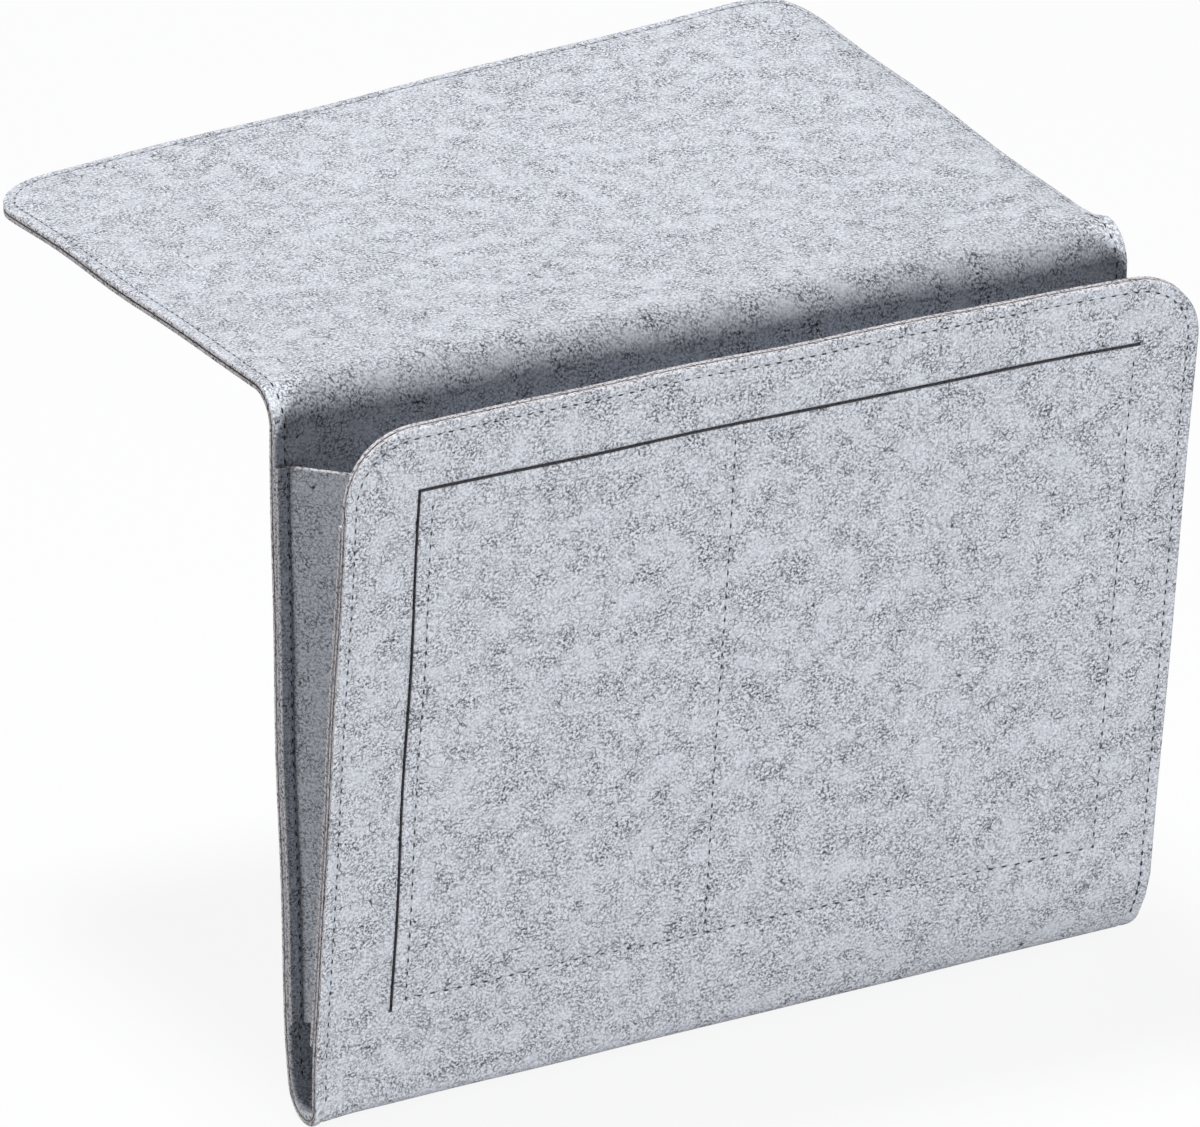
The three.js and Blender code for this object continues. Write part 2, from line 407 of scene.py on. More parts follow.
@dataclass(frozen=True)
class Strip:
    """The folded strip's middle line, between its two plies, with the sizes read from the frame.

    A place on the strip is given by how far it lies across, by its run along the middle line from
    the flap's far end, and by its depth towards the outer felt's side.
    """

    half_width: float
    flap_end: float
    flap_level: float
    bend: Vector
    back_plane: float
    crease: Vector
    up: Vector
    front_length: float
    settling: Settling = Settling()
    corner_radius: float = 26 * MM
    # A curve with two pins between its ends goes this share of the way out to them.
    pin_reach: float = 0.75

    @classmethod
    def from_frame(cls) -> "Strip":
        """Reads the strip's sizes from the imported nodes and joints.

        Returns:
            The strip.
        """
        lining_low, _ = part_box("flap_lining")
        _, flap_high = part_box("flap_outer")
        bend_low, bend_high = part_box("shoulder_outer")
        _, back_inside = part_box("back_lining")
        back_outside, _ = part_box("back_outer")
        _, front_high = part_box("front_lining")
        crease = Vector(JOINTS["mouth"]["pos_m"])
        up = -Vector(JOINTS["left_front_fold"]["axis"]).normalized()
        return cls(
            half_width=flap_high.x,
            flap_end=flap_high.y,
            flap_level=(flap_high.z + lining_low.z) / 2,
            bend=Vector((0, bend_high.y, bend_low.z)),
            back_plane=(back_inside.y + back_outside.y) / 2,
            crease=crease,
            up=up,
            front_length=(front_high.z - crease.z) / up.z,
        )

    @cached_property
    def bend_radius(self) -> float:
        """The shoulder's radius on the middle line."""
        return self.flap_level - self.bend.z

    @cached_property
    def fold_radius(self) -> float:
        """The bottom fold's radius on the middle line, before it settles."""
        return self.back_plane - self.crease.y

    @cached_property
    def bend_angle(self) -> float:
        """How far the shoulder turns, a little less than square because the back bows to the rear."""
        return math.pi / 2 - math.atan2(self.settling.back_bow, self.settling.back_bow_below)

    @cached_property
    def back_top(self) -> Vector:
        """The back's upper end."""
        return self.bend + self.bend_spoke(self.bend_angle) * self.bend_radius

    @cached_property
    def back_foot(self) -> Vector:
        """The back's lower end, where the bottom fold begins."""
        settling = self.settling
        return Vector((0, self.back_plane + settling.back_foot, self.crease.z + settling.foot_rise))

    @cached_property
    def out(self) -> Vector:
        """The direction in which the front faces."""
        return Vector((0, -self.up.z, self.up.y))

    @cached_property
    def front_foot(self) -> Vector:
        """The front's lower end, where the bottom fold ends."""
        reach = self.fold_radius + self.settling.front_foot
        return self.crease + self.out * reach + self.up * self.settling.foot_rise

    @cached_property
    def front_top(self) -> Vector:
        """The front's upper end."""
        return self.crease + self.out * self.fold_radius + self.up * self.front_length

    @cached_property
    def back_pins(self) -> list[Vector]:
        """The three pins of the curve down the back."""
        bow = Vector((0, self.settling.back_bow, -self.settling.back_bow_below))
        return [self.back_top, self.back_top + bow, self.back_foot]

    @cached_property
    def bottom_pins(self) -> list[Vector]:
        """The four pins of the curve round the bottom fold.

        Returns:
            The back's foot, two pins that sag below the fold, and the front's foot.
        """
        settling = self.settling
        sag = (settling.foot_rise + self.fold_radius + settling.foot_drop) / self.pin_reach
        down = (self.back_foot - self.back_pins[1]).normalized() * sag
        rise = (self.front_top - self.front_foot).normalized() * sag
        return [self.back_foot, self.back_foot + down, self.front_foot - rise, self.front_foot]

    @cached_property
    def bend_start(self) -> float:
        """The run where the flap ends and the shoulder begins."""
        return self.flap_end - self.bend.y

    @cached_property
    def back_start(self) -> float:
        """The run where the shoulder ends and the back begins."""
        return self.bend_start + self.bend_radius * self.bend_angle

    @cached_property
    def fold_start(self) -> float:
        """The run where the back ends and the bottom fold begins."""
        return self.back_start + self.curve_length(self.back_pins)

    @cached_property
    def front_start(self) -> float:
        """The run where the bottom fold ends and the front begins."""
        return self.fold_start + self.curve_length(self.bottom_pins)

    @cached_property
    def end(self) -> float:
        """The run at the front's top edge."""
        return self.front_start + (self.front_top - self.front_foot).length

    @staticmethod
    def bend_spoke(angle: float) -> Vector:
        """Finds the direction from the shoulder's centre at an angle from its start."""
        return Vector((0, -math.sin(angle), math.cos(angle)))

    @staticmethod
    def on_curve(pins: list[Vector], share: float) -> tuple[Vector, Vector]:
        """Finds a point and the heading on a smooth curve given by its pins.

        Args:
            pins: The curve's two ends and the pins between that it bends towards.
            share: Zero at the first end and one at the last.

        Returns:
            The point and the direction of the curve there.
        """
        while len(pins) > 2:
            pins = [a.lerp(b, share) for a, b in zip(pins, pins[1:])]
        return pins[0].lerp(pins[1], share), (pins[1] - pins[0]).normalized()

    @classmethod
    def curve_length(cls, pins: list[Vector], steps: int = 32) -> float:
        """Measures a smooth curve along short chords."""
        points = [cls.on_curve(pins, i / steps)[0] for i in range(steps + 1)]
        return sum((b - a).length for a, b in zip(points, points[1:]))

    def centre(self, run: float) -> tuple[Vector, Vector]:
        """Finds the point and the heading on the middle line at a run.

        Args:
            run: Distance along the middle line from the flap's far end.

        Returns:
            The point and the direction of the line there.
        """
        if run <= self.bend_start:
            return Vector((0, self.flap_end - run, self.flap_level)), Vector((0, -1, 0))
        if run <= self.back_start:
            spoke = self.bend_spoke((run - self.bend_start) / self.bend_radius)
            return self.bend + spoke * self.bend_radius, Vector((0, -spoke.z, spoke.y))
        if run <= self.fold_start:
            return self.on_curve(self.back_pins, self.back_share(run))
        if run <= self.front_start:
            share = (run - self.fold_start) / (self.front_start - self.fold_start)
            return self.on_curve(self.bottom_pins, share)
        rise = (self.front_top - self.front_foot).normalized()
        return self.front_foot + rise * (run - self.front_start), rise

    def back_share(self, run: float) -> float:
        """Finds the share of the back's curve that gives even steps down its height.

        Args:
            run: Distance along the middle line from the flap's far end.

        Returns:
            The share, zero at the shoulder and one at the bottom fold.
        """
        height = (run - self.back_start) / (self.fold_start - self.back_start)
        near = self.settling.back_bow_below / (self.back_top.z - self.back_foot.z)
        square = 1 - 2 * near
        return (math.sqrt(near * near + square * height) - near) / square

    def place(self, across: float, run: float, depth: float) -> Vector:
        """Finds a place on the folded and settled strip.

        Args:
            across: Distance from the middle, to the right.
            run: Distance along the middle line from the flap's far end.
            depth: Distance from the middle line towards the outer felt's side.

        Returns:
            The point in the part's frame.
        """
        middle, heading = self.centre(run)
        side = Vector((0, -heading.z, heading.y))
        point = middle + side * (depth - self.swell(across, run))
        point.x = across
        return self.settled(point)

    def swell(self, across: float, run: float) -> float:
        """Finds how far the felt moves to its lining side, in shallow waves, a bow and curled edges.

        Args:
            across: Distance from the middle, to the right.
            run: Distance along the middle line from the flap's far end.

        Returns:
            The distance, below zero where the felt moves to its outer side.
        """
        settling = self.settling
        turn = 2 * math.pi / settling.wave_length
        wave = math.sin(across * turn + settling.wave_shift) * math.sin(settling.wave_along * run * turn)
        wave += math.sin(settling.wave_slanting * (across + run) * turn)
        from_bend = min(abs(run - self.bend_start), abs(run - self.fold_start), abs(run - self.front_start))
        still = 1 - eased(from_bend / settling.fold_reach)
        rim = max(0.0, 1 - (self.half_width - across) / settling.flap_curl_reach)
        curl = rim * rim * eased((self.bend_start - run) / settling.flap_curl_reach)
        bow = max(0.0, run - self.front_start) / self.front_length * (1 - (across / self.half_width) ** 2)
        tuck = max(0.0, 1 - (self.half_width + across) / settling.flap_curl_reach) ** 2
        tuck *= eased((run - self.fold_start) / settling.fold_reach)
        swell = settling.wave_height * wave * (1 - still) + settling.front_bow * bow
        return swell - settling.flap_curl * curl + settling.front_curl * tuck

    def settled(self, point: Vector) -> Vector:
        """Moves a point with the caddy's gentle twist.

        Args:
            point: The point on the straight caddy.

        Returns:
            The point on the settled one.
        """
        settling = self.settling
        side = (point.x / self.half_width + 1) / 2
        shoulder = between(settling.shoulder_left, settling.shoulder_right, side)
        if point.y > self.bend.y:
            away = (point.y - self.bend.y) / self.bend_start
            far = between(settling.flap_far_left, settling.flap_far_right, side)
            inset = settling.flap_far_inset * (1 - side) * away
            forward = settling.shoulder_forward * side * (1 - away)
            return point + Vector((inset, forward, between(shoulder, far, away)))
        away = (self.flap_level - point.z) / (self.flap_level - self.crease.z)
        foot = between(settling.foot_left, settling.foot_right, side)
        on_back = eased(1 - (self.back_plane - point.y) / settling.fold_reach)
        low = max(0.0, 1 - (point.z - self.crease.z + settling.foot_drop) / settling.fold_reach) ** 2
        forward = settling.shoulder_forward * side * on_back * max(0.0, 1 - away) ** 2
        forward += between(settling.fold_left, settling.fold_right, side) * low
        return point + Vector((0, forward, between(shoulder * on_back, foot, away)))

    def front_run(self, rise: float) -> float:
        """Finds the run at a height on the front, measured up from the crease."""
        return self.end - self.front_length + rise

    def back_run(self, rise: float) -> float:
        """Finds the run at a height on the back, measured up from the crease."""
        return self.back_start + self.bend.z - self.crease.z - rise

    def from_edge(self, across: float, run: float) -> float:
        """Finds how far a place lies inside the strip's cut edge, round its corners too.

        Args:
            across: Distance from the middle, to the right.
            run: Distance along the middle line from the flap's far end.

        Returns:
            The distance.
        """
        side = self.half_width - abs(across)
        end = min(run, self.end - run)
        if side < self.corner_radius and end < self.corner_radius:
            return self.corner_radius - math.hypot(self.corner_radius - side, self.corner_radius - end)
        return min(side, end)


@dataclass(frozen=True)
class SeamSizes:
    """Where the stitch rows lie, and the size of a stitch and of the groove that it pulls."""

    edge_inset: float = 4 * MM
    edge_foot: float = 5 * MM
    edge_pitch: float = 4.2 * MM
    pocket_left: float = -126.8 * MM
    pocket_right: float = 136 * MM
    pocket_foot: float = 37.5 * MM
    pocket_top: float = 234.6 * MM
    pocket_pitch: float = 5 * MM
    divider: float = -14 * MM
    divider_pitch: float = 4.6 * MM
    back_tack_aside: float = 0.9 * MM
    back_tack_above: float = 9.2 * MM
    back_tack_below: float = 2.5 * MM
    groove_depth: float = 0.4 * MM
    groove_half: float = 1.3 * MM
    thread_half_width: float = 0.3 * MM
    thread_half_height: float = 0.16 * MM
    hole_half_length: float = 1.3 * MM
    hole_half_width: float = 0.55 * MM
    hole_half_height: float = 0.15 * MM
    grain_sides: int = 6
    grain_rings: int = 5

    def groove(self, distance: float) -> float:
        """Finds how deep a row of stitches pulls the felt in, at a distance from the row."""
        return self.groove_depth * eased(1 - distance / self.groove_half)

    def beside(self, row: float) -> list[float]:
        """Lists the lines beside a row that give its groove a round bottom."""
        return [row + self.groove_half * step for step in (-1, -0.5, 0, 0.5, 1)]


@dataclass(frozen=True)
class Slit:
    """The cut that opens the front pockets: along the top and down the left side."""

    left: float = -133 * MM
    right: float = 138 * MM
    foot: float = 33 * MM
    top: float = 238 * MM
    width: float = 1.4 * MM
    lip: float = 0.5 * MM
    lip_drop: float = 0.3 * MM

    def distance(self, across: float, rise: float) -> float:
        """Finds how far a place on the front lies from the slit.

        Args:
            across: Distance from the middle, to the right.
            rise: Height on the front, measured up from the crease.

        Returns:
            The distance, zero inside the slit.
        """
        along = max(self.left - across, across - self.right, 0.0)
        above = max(self.top - self.width - rise, rise - self.top, 0.0)
        beside = max(self.left - across, across - self.left - self.width, 0.0)
        below = max(self.foot - rise, rise - self.top, 0.0)
        return min(math.hypot(along, above), math.hypot(beside, below))

    def across_lines(self) -> list[float]:
        """Lists the across values of its edges and of its lips."""
        inner = self.left + self.width
        return [self.left - self.lip, self.left, inner, inner + self.lip, self.right, self.right + self.lip]

    def rise_lines(self) -> list[float]:
        """Lists the heights of its edges and of its lips."""
        under = self.top - self.width
        return [self.foot - self.lip, self.foot, under - self.lip, under, self.top, self.top + self.lip]


def cut_lines(bm: BMesh, way: Way, places: Iterable[float]) -> None:
    """Cuts a flat mesh along straight lines, so that it can bend there.

    Args:
        bm: The mesh.
        way: The way that is square to the lines.
        places: Where the lines lie on that way.
    """
    normal = Vector(way.value)
    for value in places:
        everything = bm.verts[:] + bm.edges[:] + bm.faces[:]
        bmesh.ops.bisect_plane(bm, geom=everything, dist=TOUCHING, plane_co=normal * value, plane_no=normal)


def spaced(low: float, high: float, step: float, keep_from: Iterable[float] = ()) -> list[float]:
    """Lists evenly spaced values between two ends, leaving out those close to others.

    Args:
        low: The lower end.
        high: The upper end.
        step: About how far apart they are.
        keep_from: Values that none may come within a quarter of a step of.

    Returns:
        The values, without the two ends.
    """
    count = max(1, round((high - low) / step))
    values = [low + (high - low) * i / count for i in range(1, count)]
    return [v for v in values if all(abs(v - other) > step / 4 for other in keep_from)]


def finish_piece(
    bm: BMesh, name: str, place: Callable[[Vector], Vector], finishes: list[Material]
) -> Object:
    """Moves a flat piece to its place and makes an object of it.

    Args:
        bm: The piece in flat coordinates, which is freed.
        name: The object's name.
        place: Gives the point in the part's frame for a flat point.
        finishes: The object's materials.

    Returns:
        The new object, at the origin.
    """
    for vert in bm.verts:
        vert.co = place(vert.co)
    bmesh.ops.recalc_face_normals(bm, faces=bm.faces)
    for face in bm.faces:
        face.smooth = True
    for edge in bm.edges:
        edge.smooth = edge.calc_face_angle(0.0) < SHARP_TURN
    mesh = bpy.data.meshes.new(name)
    bm.to_mesh(mesh)
    bm.free()
    made = bpy.data.objects.new(name, mesh)
    bpy.context.scene.collection.objects.link(made)
    for finish in finishes:
        mesh.materials.append(finish)
    return made


def thicken(bm: BMesh, low: float, high: float) -> None:
    """Gives a flat sheet its thickness, marks its cut edges and notes each point's flat place.

    Args:
        bm: The sheet, flat at a height of zero.
        low: The lower face's height.
        high: The upper face's height.
    """
    bmesh.ops.solidify(bm, geom=bm.faces[:], thickness=high - low)
    bmesh.ops.recalc_face_normals(bm, faces=bm.faces)
    lowest = min(vert.co.z for vert in bm.verts)
    bmesh.ops.translate(bm, verts=bm.verts, vec=(0, 0, low - lowest))
    bm.normal_update()
    for face in bm.faces:
        upright = abs(face.normal.z) < math.hypot(face.normal.x, face.normal.y)
        face.material_index = FeltFace.CUT if upright else FeltFace.FLAT
    layer = bm.verts.layers.float_vector.new(FELT_PLACE)
    for vert in bm.verts:
        vert[layer] = vert.co


@dataclass
class FeltPly:
    """One length of one felt of the strip, cut, grooved by its stitches and folded."""

    strip: Strip
    seams: SeamSizes
    ply: Ply
    name: str
    run_from: float
    run_to: float
    slit: Slit | None = None
    thickness: float = 2 * MM
    half_gap: float = 0.15 * MM
    line_step: float = 10 * MM
    bend_steps: int = 16
    corner_steps: int = 14
    edge_round: float = 1 * MM
    edge_drop: float = 0.5 * MM
    edge_gape: float = 0.22 * MM

    def build(self, finishes: list[Material]) -> Object:
        """Makes the ply.

        Args:
            finishes: The materials of the felt, of its cut edge and of the slit's walls, which are painted
                dark as shade.

        Returns:
            The ply's object.
        """
        bm = bmesh.new()
        self.cut_outline(bm)
        self.cut_folds(bm)
        if self.slit:
            self.cut_slit(bm)
        near, far = self.half_gap, self.half_gap + self.thickness
        low, high = (near, far) if self.ply is Ply.OUTER else (-far, -near)
        thicken(bm, low, high)
        for face in bm.faces:
            # The slit's walls take the dark material, painted shade inside the slit.
            if face.material_index == FeltFace.CUT and self.from_slit(face.calc_center_median()) < TOUCHING:
                face.material_index = FeltFace.SLIT
        return finish_piece(bm, self.name, self.folded, finishes)

    def cut_outline(self, bm: BMesh) -> None:
        """Cuts the outline with its round corners, and rings along the edge for the seam's groove.

        Args:
            bm: An empty mesh for the flat ply.
        """
        strip = self.strip
        margin = 2 * strip.corner_radius
        starts = self.run_from <= 0
        low = 0 if starts else self.run_from - margin
        high = self.run_to + margin if starts else strip.end
        bmesh.ops.create_grid(bm, x_segments=1, y_segments=1, size=1)
        bmesh.ops.scale(bm, vec=(strip.half_width, (high - low) / 2, 1), verts=bm.verts)
        bmesh.ops.translate(bm, vec=(0, (high + low) / 2, 0), verts=bm.verts)
        round_end = low if starts else high
        corners = [vert for vert in bm.verts if abs(vert.co.y - round_end) < MM]
        bmesh.ops.bevel(
            bm, geom=corners, offset=strip.corner_radius, offset_type="OFFSET", segments=self.corner_steps,
            profile=0.5, affect="VERTICES", material=-1)
        reached = 0.0
        for ring in [self.edge_round / 3, self.edge_round] + self.seams.beside(self.seams.edge_inset):
            inner = max(bm.faces, key=lambda face: face.calc_area())
            bmesh.ops.inset_region(
                bm, faces=[inner], thickness=ring - reached, use_even_offset=True, use_boundary=True)
            reached = ring
        for value, side in ((self.run_from, -1), (self.run_to, 1)):
            if 0 < value < strip.end:
                everything = bm.verts[:] + bm.edges[:] + bm.faces[:]
                bmesh.ops.bisect_plane(
                    bm, geom=everything, dist=TOUCHING, plane_co=(0, value, 0), plane_no=(0, side, 0),
                    clear_outer=True)

    def cut_folds(self, bm: BMesh) -> None:
        """Cuts the lines that let the felt bend, and those along the slit and the front's rows.

        Args:
            bm: The flat ply.
        """
        strip, seams = self.strip, self.seams
        bends = ((strip.bend_start, strip.back_start), (strip.fold_start, strip.front_start))
        steps = range(self.bend_steps + 1)
        fixed = [start + (stop - start) * i / self.bend_steps for start, stop in bends for i in steps]
        rows = []
        if self.run_to >= strip.end:
            fixed += seams.beside(strip.front_run(seams.pocket_foot))
            for row in (seams.pocket_left, seams.pocket_right, seams.divider):
                rows += seams.beside(row)
        if self.slit:
            rows += self.slit.across_lines()
            fixed += [strip.front_run(rise) for rise in self.slit.rise_lines()]
        runs = [run for run in fixed if self.run_from < run < self.run_to]
        inside = strip.half_width - seams.edge_inset - 2 * seams.groove_half
        cut_lines(bm, Way.ALONG, runs + spaced(self.run_from, self.run_to, self.line_step, fixed))
        cut_lines(bm, Way.ACROSS, rows + spaced(-inside, inside, self.line_step, rows))

    def cut_slit(self, bm: BMesh) -> None:
        """Cuts the slit out of the front."""
        waste = [face for face in bm.faces if self.from_slit(face.calc_center_median()) <= 0]
        bmesh.ops.delete(bm, geom=waste, context="FACES")

    def from_slit(self, flat: Vector) -> float:
        """Finds how far a flat point lies from the slit, endlessly far where there is none."""
        return self.slit.distance(flat.x, flat.y - self.strip.front_run(0)) if self.slit else math.inf

    def folded(self, flat: Vector) -> Vector:
        """Gives the place of a flat point on the folded strip, sunk at stitches and round at edges.

        Args:
            flat: Across, run and depth on the flat strip.

        Returns:
            The point in the part's frame.
        """
        sign = self.ply.value
        outside = abs(flat.z) > self.half_gap + self.thickness / 2
        from_edge = self.strip.from_edge(flat.x, flat.y)
        if outside:
            drop = self.edge_drop * max(0.0, 1 - from_edge / self.edge_round) ** 2
            drop += self.groove(flat.x, flat.y)
        else:
            held_from = self.seams.edge_inset - self.seams.groove_half
            drop = self.edge_gape * max(0.0, 1 - from_edge / held_from)
        if outside and self.slit:
            drop += self.slit.lip_drop * max(0.0, 1 - self.from_slit(flat) / self.slit.lip)
        towards_middle = -sign if outside else sign
        return self.strip.place(flat.x, flat.y, flat.z + towards_middle * drop)

    def groove(self, across: float, run: float) -> float:
        """Finds how deep the stitches pull the felt's face in.

        Args:
            across: Distance from the middle, to the right.
            run: Distance along the middle line from the flap's far end.

        Returns:
            The depth.
        """
        seams = self.seams
        rise = run - self.strip.front_run(0)
        distances = [abs(self.strip.from_edge(across, run) - seams.edge_inset)]
        if seams.pocket_foot - seams.groove_half < rise < seams.pocket_top:
            distances += [abs(across - x) for x in (seams.pocket_left, seams.pocket_right, seams.divider)]
        if seams.pocket_left < across < seams.pocket_right:
            distances.append(abs(rise - seams.pocket_foot))
        return seams.groove(min(distances))


@dataclass
class GussetHalf:
    """Half a gusset: a flange sewn to one panel and a leaf that folds in to the middle crease."""

    strip: Strip
    seams: SeamSizes
    side: Side
    half: Half
    foot: float = 24 * MM
    top: float = 228 * MM
    flange: float = 4.9 * MM
    crease_groove: float = 0.9 * MM
    panel_depth: float = 2.15 * MM
    hinge_depth: float = 1.3 * MM
    half_thickness: float = 1 * MM
    rim_round: float = 0.45 * MM
    rim_steps: int = 2
    rim_turn: float = math.radians(60)
    levels: int = 24
    turn: float = math.radians(45)
    bend_radius: float = 1.4 * MM
    bend_steps: int = 8
    hinge_reach: float = 1.5 * MM
    overlap_foot: float = 1.2 * MM
    overlap_top: float = 2.2 * MM

    @property
    def name(self) -> str:
        """The piece's name."""
        return f"gusset_{self.side_name}_{self.half.value}"

    @property
    def side_name(self) -> str:
        """Left or right."""
        return self.side.name.lower()

    @property
    def bend_start(self) -> float:
        """Where the bend between flange and leaf begins, from the flange's outer edge."""
        return self.flange - self.bend_radius * math.tan(self.turn / 2)

    def run(self, rise: float) -> float:
        """Finds the strip's run beside a height on this half's panel."""
        return self.strip.back_run(rise) if self.half is Half.REAR else self.strip.front_run(rise)

    def leaf_width(self, rise: float) -> float:
        """Finds the leaf's width from its hinge to just past the plane midway between back and front.

        Args:
            rise: Height on the panel.

        Returns:
            The width, with the overlap at the middle crease.
        """
        strip, hinge = self.strip, self.side.value * (self.strip.half_width - self.flange)
        rear = strip.place(hinge, strip.back_run(rise), -self.panel_depth)
        front = strip.place(hinge, strip.front_run(rise), -self.panel_depth)
        _, inwards = self.panel_place(self.flange, rise)
        between_panels = (front - rear).normalized()
        depth = (front - rear).length / 2 / abs(inwards.dot(between_panels))
        overlap = between(self.overlap_foot, self.overlap_top, (rise - self.foot) / (self.top - self.foot))
        return (depth - self.hinge_depth) / math.sin(self.turn) + overlap

    def build(self, finishes: list[Material]) -> Object:
        """Makes the half gusset.

        Args:
            finishes: The felt's material, darkened as painted shade, and its cut edge's.

        Returns:
            The piece's object.
        """
        bm = bmesh.new()
        bmesh.ops.create_grid(bm, x_segments=1, y_segments=self.levels, size=1)
        for vert in bm.verts:
            rise = between(self.foot, self.top, (vert.co.y + 1) / 2)
            width = self.flange + self.leaf_width(rise) + self.half_thickness
            vert.co = Vector((width if vert.co.x > 0 else 0, rise, 0))
        arc = self.bend_radius * self.turn
        band = 2 * self.rim_round
        bend = [self.bend_start + arc * i / self.bend_steps for i in range(self.bend_steps + 1)]
        cut_lines(bm, Way.ACROSS, [band] + self.seams.beside(self.seams.edge_inset) + bend)
        cut_lines(bm, Way.ALONG, [self.foot + band, self.top - band])
        thicken(bm, -self.half_thickness, self.half_thickness)
        sharp = [edge for edge in bm.edges if edge.calc_face_angle() > self.rim_turn]
        rims = [edge for edge in sharp if abs(edge.verts[0].co.z - edge.verts[1].co.z) < MM]
        bmesh.ops.bevel(
            bm, geom=rims, offset=self.rim_round, offset_type="OFFSET", segments=self.rim_steps,
            profile=0.5, affect="EDGES", material=-1)
        return finish_piece(bm, self.name, self.folded, finishes)

    def folded(self, flat: Vector) -> Vector:
        """Gives the place of a flat point on the folded gusset.

        Args:
            flat: Distance in from the outer edge, height on the panel, and depth in the felt.

        Returns:
            The point in the part's frame.
        """
        angle = min(max((flat.x - self.bend_start) / self.bend_radius, 0.0), self.turn)
        leaf = max(flat.x - self.bend_start - self.bend_radius * self.turn, 0.0)
        lift = flat.z
        if flat.z > 0:
            depth_share = self.crease_groove / self.seams.groove_depth
            lift -= depth_share * self.seams.groove(abs(flat.x - self.seams.edge_inset))
        along = min(flat.x, self.bend_start) + self.bend_radius * math.sin(angle)
        along += leaf * math.cos(angle) - lift * math.sin(angle)
        depth = self.bend_radius * (1 - math.cos(angle)) + leaf * math.sin(angle) + lift * math.cos(angle)
        on_panel = min(along, self.flange)
        foot, inwards = self.panel_place(on_panel, flat.y)
        beyond = Vector((self.side.value * (along - on_panel), 0, 0))
        return foot + inwards * (self.hinge_depth + depth) - beyond

    def panel_place(self, from_edge: float, rise: float) -> tuple[Vector, Vector]:
        """Finds a point on the panel's lining and the direction into the pocket there.

        Args:
            from_edge: Distance in from the strip's side edge.
            rise: Height on the panel.

        Returns:
            The point and the direction.
        """
        across = self.side.value * (self.strip.half_width - from_edge)
        foot = self.strip.place(across, self.run(rise), -self.panel_depth)
        deeper = self.strip.place(across, self.run(rise), -self.panel_depth - MM)
        return foot, (deeper - foot).normalized()


@dataclass
class StitchRow:
    """A row of stitches along a line on the strip, with thread on one face."""

    strip: Strip
    seams: SeamSizes
    line: Callable[[float], tuple[float, float]]
    length: float
    pitch: float
    face: Callable[[float, float], float]

    def grains(self) -> Iterator[BMesh]:
        """Makes the row's threads and needle holes one by one, in their final place.

        Yields:
            Each grain, to be freed by the caller.
        """
        seams = self.seams
        count = max(1, round(self.length / self.pitch))
        pitch = self.length / count
        reach = pitch / 2 - seams.hole_half_length / 2
        thread = (seams.thread_half_width, reach, seams.thread_half_height)
        hole = (seams.hole_half_width, seams.hole_half_length, seams.hole_half_height)
        for i in range(count):
            yield self.grain((i + 0.5) * pitch, seams.groove_depth / 2, StitchFace.THREAD, thread)
        # Each needle hole is a dark grain of painted shade.
        for i in range(count + 1):
            yield self.grain(i * pitch, seams.groove_depth, StitchFace.HOLE, hole)

    def grain(
        self, along: float, sunk: float, kind: StitchFace, size: tuple[float, float, float]
    ) -> BMesh:
        """Makes one grain-shaped thread or hole.

        Args:
            along: Distance along the row of its middle.
            sunk: How far it is sunk below the felt's face.
            kind: Whether it is a thread or a hole.
            size: Its half width, half length and half height.

        Returns:
            The grain, to be freed by the caller.
        """
        start = Vector(self.line(along - size[1]))
        stop = Vector(self.line(along + size[1]))
        middle = (start + stop) / 2
        heading = (stop - start).normalized()
        surface = self.face(middle.x, middle.y)
        level = surface - math.copysign(sunk, surface)
        turn = Matrix.Rotation(math.atan2(-heading.x, heading.y), 4, "Z")
        spot = Matrix.Translation((middle.x, middle.y, level)) @ turn @ Matrix.Diagonal((*size, 1))
        bm = bmesh.new()
        sides, rings = self.seams.grain_sides, self.seams.grain_rings
        bmesh.ops.create_uvsphere(bm, u_segments=sides, v_segments=rings, radius=1, matrix=spot)
        for vert in bm.verts:
            vert.co = self.strip.place(*vert.co)
        for face in bm.faces:
            face.material_index = kind
        return bm


@dataclass
class Seam:
    """A seam's rows of stitches as one piece."""

    name: str
    rows: list[StitchRow]

    def build(self, finishes: list[Material]) -> Object:
        """Makes the seam.

        Args:
            finishes: The thread's material and the needle holes' painted shade.

        Returns:
            The seam's object.
        """
        bm = bmesh.new()
        carrier = bpy.data.meshes.new("stitch")
        for row in self.rows:
            for grain in row.grains():
                grain.to_mesh(carrier)
                grain.free()
                bm.from_mesh(carrier)
        bpy.data.meshes.remove(carrier)
        return finish_piece(bm, self.name, lambda point: point, finishes)


